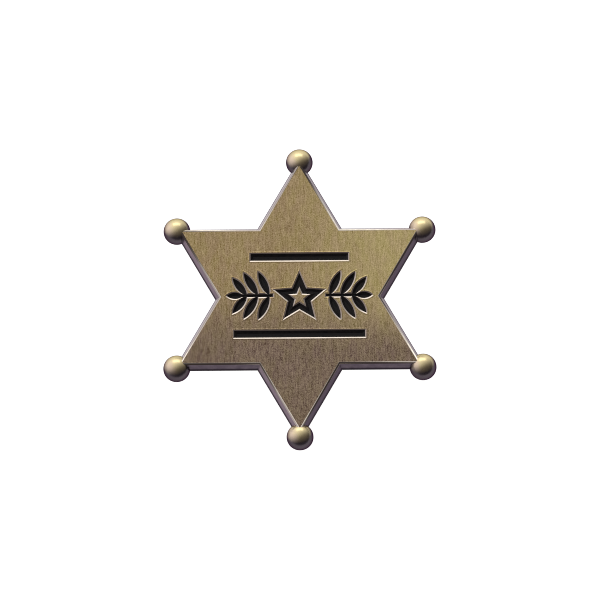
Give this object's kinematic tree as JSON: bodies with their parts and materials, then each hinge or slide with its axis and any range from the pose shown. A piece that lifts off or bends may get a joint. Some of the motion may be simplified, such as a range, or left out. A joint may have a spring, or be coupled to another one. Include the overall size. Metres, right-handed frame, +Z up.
{
  "type": "star lapel pin",
  "caption": "Flat six-pointed star badge with ball tips, black enamelled bars, star and leaf sprigs recessed in its face, and a bar pin across its back.",
  "frame": {"origin": "on the surface that the badge lies on, under the middle of its outline", "axes": "+Z up, out of the badge's face; +Y towards the top ball; +X to the right as the face is read"},
  "size_m": [0.0394, 0.045, 0.0065],
  "materials": {
    "antique_bronze": "antique bronze plate, vertically brushed face, polished bevels, dark patina on the walls",
    "black_enamel": "matt black fill",
    "pin_metal": "bronze-plated steel"
  },
  "bodies": {
    "root": {"star": "antique_bronze", "upper_bar_enamel": "black_enamel", "lower_bar_enamel": "black_enamel", "centre_star_enamel": "black_enamel", "left_sprig_enamel": "black_enamel", "right_sprig_enamel": "black_enamel", "bar_pin": "pin_metal"}
  },
  "joints": []
}
